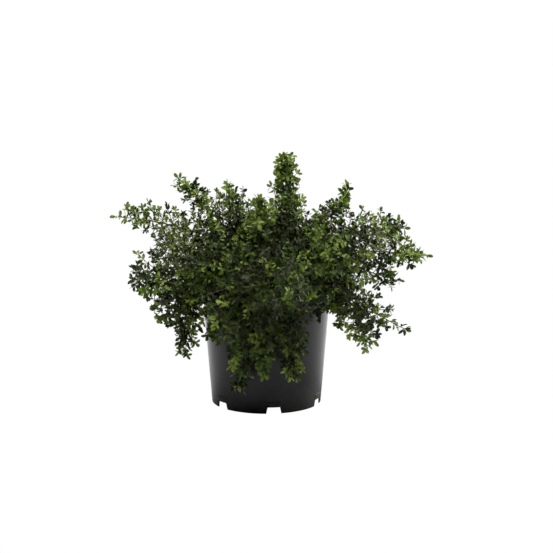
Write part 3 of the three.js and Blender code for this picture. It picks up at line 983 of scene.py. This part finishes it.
def leaf_shape():
    """Places of a leaf of length 1 along +X, its UVs and its faces."""
    places = []
    uvs = []
    for along, half in LEAF_ROWS:
        for side in (-1, 0, 1):
            across = side * half * LEAF_WIDTH
            rise = LEAF_FOLD * abs(across) - LEAF_ARCH * max(0, along - 0.3) ** 2
            places.append((along, across, rise))
            uvs.append((0.5 + side * half, along))
    places.append((1, 0, -LEAF_ARCH * 0.49))
    uvs.append((0.5, 1))
    faces = []
    for row in range(len(LEAF_ROWS) - 1):
        for side in (0, 1):
            corner = 3 * row + side
            faces.append([corner, corner + 3, corner + 4, corner + 1])
    last = 3 * (len(LEAF_ROWS) - 1)
    faces += [[last, last + 3, last + 1], [last + 1, last + 3, last + 2]]
    return np.array(places), np.array(uvs), [face[::-1] for face in faces]


leaf_places, leaf_uvs, leaf_faces = leaf_shape()
print("one leaf:", len(leaf_faces), "faces")

# %% Set the leaves
roots = np.array(leaves.roots)
ways = np.array(leaves.ways)
across = unit(np.cross(np.array(leaves.faces), ways))
normals = np.cross(ways, across)
lengths = np.array(leaves.lengths)[:, None, None]
tints = np.array(leaves.tints)
all_places = roots[:, None] + lengths * (
    leaf_places[None, :, 0:1] * ways[:, None]
    + leaf_places[None, :, 1:2] * across[:, None]
    + leaf_places[None, :, 2:3] * normals[:, None]
)


def leaf_piece(tint):
    """One piece with every leaf of a tint, and its UV map."""
    places = all_places[tints == tint]
    size = len(leaf_places)
    starts = range(0, size * len(places), size)
    faces = [[corner + start for corner in face] for start in starts for face in leaf_faces]
    piece = joined_mesh(f"leaves_{tint_names[tint]}", places.reshape(-1, 3), faces)
    layer = piece.data.uv_layers.new(name="leaf")
    corners = np.zeros(len(piece.data.loops), int)
    piece.data.loops.foreach_get("vertex_index", corners)
    layer.uv.foreach_set("vector", leaf_uvs[corners % size].ravel())
    return piece


leaf_pieces = [leaf_piece(tint) for tint in range(len(TINTS))]
for piece in leaf_pieces:
    print(piece.name, len(piece.data.polygons), "faces")

# %% [markdown]
# ### Leaf finishes
# The leaves are dark and waxy, so they throw back a grey sheen from the studio lights. Young leaves are
# yellow-green and softer, old ones deep green or greyed. Brighter tints go more to high leaves and darker
# ones to leaves inside the shrub, partly as painted light and painted shade. Each tint has a paler midrib,
# veins that slant from it to the edge, and patches of a second colour. The wax is set by the roughness.

# %% Finish the leaves
# Each tint: its main colour, the colour of its patches and its roughness
LEAF_TINTS = {
    "young": (colour(122, 146, 58), colour(142, 162, 76), 0.38),
    "bright": (colour(94, 119, 34), colour(110, 134, 46), 0.36),
    "middle": (colour(44, 67, 14), colour(57, 79, 20), 0.3),
    "deep": (colour(19, 34, 8), colour(28, 45, 12), 0.26),
    "grey": (colour(46, 60, 30), colour(62, 75, 42), 0.32),
}


def leaf_finish(name, main, patch, roughness):
    finish = Finish(f"leaf_{name}")
    uv = finish.node("ShaderNodeUVMap", {"uv_map": "leaf"})
    across = finish.node("ShaderNodeSeparateXYZ", {}, {0: uv}, "X")
    along = finish.node("ShaderNodeSeparateXYZ", {}, {0: uv}, "Y")
    from_midrib = finish.node("ShaderNodeMath", {"operation": "ABSOLUTE"}, {0: across - 0.5})
    midrib = 1 - finish.fade(from_midrib, 0.015, 0.06)
    slanted = 46 * (along - 0.7 * from_midrib)
    veins = finish.fade(finish.node("ShaderNodeMath", {"operation": "SINE"}, {0: slanted}), 0.6, 1.0)
    mottle = finish.noise(120, 3)
    blade = finish.blend(finish.fade(mottle, 0.38, 0.66), main, patch)
    ribbed = finish.blend(0.4 * midrib + 0.1 * veins, blade, colour(146, 156, 96))
    finish.feed(finish.shader, {
        "Base Color": ribbed,
        "Roughness": roughness + 0.12 * mottle,
        "Specular IOR Level": 0.15,
        "Normal": finish.bump(0.6 * mottle - midrib - 0.4 * veins, 0.0004),
    })
    return finish


masses = [f"foliage_{shoot}" for shoot in SHOOTS]
for name, piece in zip(tint_names, leaf_pieces):
    finish_piece(piece, leaf_finish(name, *LEAF_TINTS[name]), "foliage", *masses)

# %% [markdown]
# ## Light and floor
# The picture is a cut-out on pure white, lit by large soft lamps: one overhead, a wide one behind the plant
# and one at the right. The pot mirrors the lit floor, which draws a pale band down both its edges. The floor
# and the surroundings look white to the camera, but give the plant only a dim, even light, so that the inside
# of the shrub stays dark.

# %% Floor and surroundings
AMBIENT = 0.05
FLOOR_GREY = 0.64


def camera_white(tree, target, other, socket):
    """White light where the camera looks, and another shader for all other light."""
    path = tree.nodes.new("ShaderNodeLightPath")
    white = tree.nodes.new("ShaderNodeEmission")
    mixed = tree.nodes.new("ShaderNodeMixShader")
    tree.links.new(path.outputs["Is Camera Ray"], mixed.inputs[0])
    tree.links.new(other, mixed.inputs[1])
    tree.links.new(white.outputs[0], mixed.inputs[2])
    tree.links.new(mixed.outputs[0], target.inputs[socket])


bpy.ops.object.select_all(action="DESELECT")
bpy.ops.mesh.primitive_plane_add(size=60, location=(0, 0, -0.0005))
floor = bpy.context.object
floor.name = "floor"
pale_floor = Finish("pale_floor")
pale_floor.feed(pale_floor.shader, {"Base Color": (FLOOR_GREY, FLOOR_GREY, FLOOR_GREY, 1), "Roughness": 0.9})
output = pale_floor.tree.nodes["Material Output"]
camera_white(pale_floor.tree, output, pale_floor.shader.outputs[0], "Surface")
floor.data.materials.append(pale_floor.material)

world = bpy.data.worlds.new("studio")
world.use_nodes = True
bpy.context.scene.world = world
ambient = world.node_tree.nodes["Background"]
ambient.inputs["Color"].default_value = (1, 1, 1, 1)
ambient.inputs["Strength"].default_value = AMBIENT
camera_white(world.node_tree, world.node_tree.nodes["World Output"], ambient.outputs[0], "Surface")
bpy.context.scene.view_settings.view_transform = "Standard"

# %% Lamps
# Each soft lamp: its place in metres, its width and height, and its power in watts
LAMPS = {
    "overhead": ((-0.2, -0.4, 2.4), (2.2, 1.8), 78),
    "backdrop": ((0, 3.0, 1.8), (6.0, 3.4), 195),
    "right_side": ((2.2, 1.0, 0.9), (1.2, 1.6), 60),
}
AIM = (0, 0, 0.22)

for name, (place, (width, tall), power) in LAMPS.items():
    lamp = bpy.data.objects.new(name, bpy.data.lights.new(name, "AREA"))
    lamp.data.shape = "RECTANGLE"
    lamp.data.size, lamp.data.size_y = width, tall
    lamp.data.energy = power
    lamp.location = place
    towards = np.array(AIM) - np.array(place)
    flat = math.hypot(towards[0], towards[1])
    lamp.rotation_euler = (math.atan2(flat, -towards[2]), 0, math.atan2(-towards[0], towards[1]))
    bpy.context.scene.collection.objects.link(lamp)
print("lamps:", len(LAMPS))
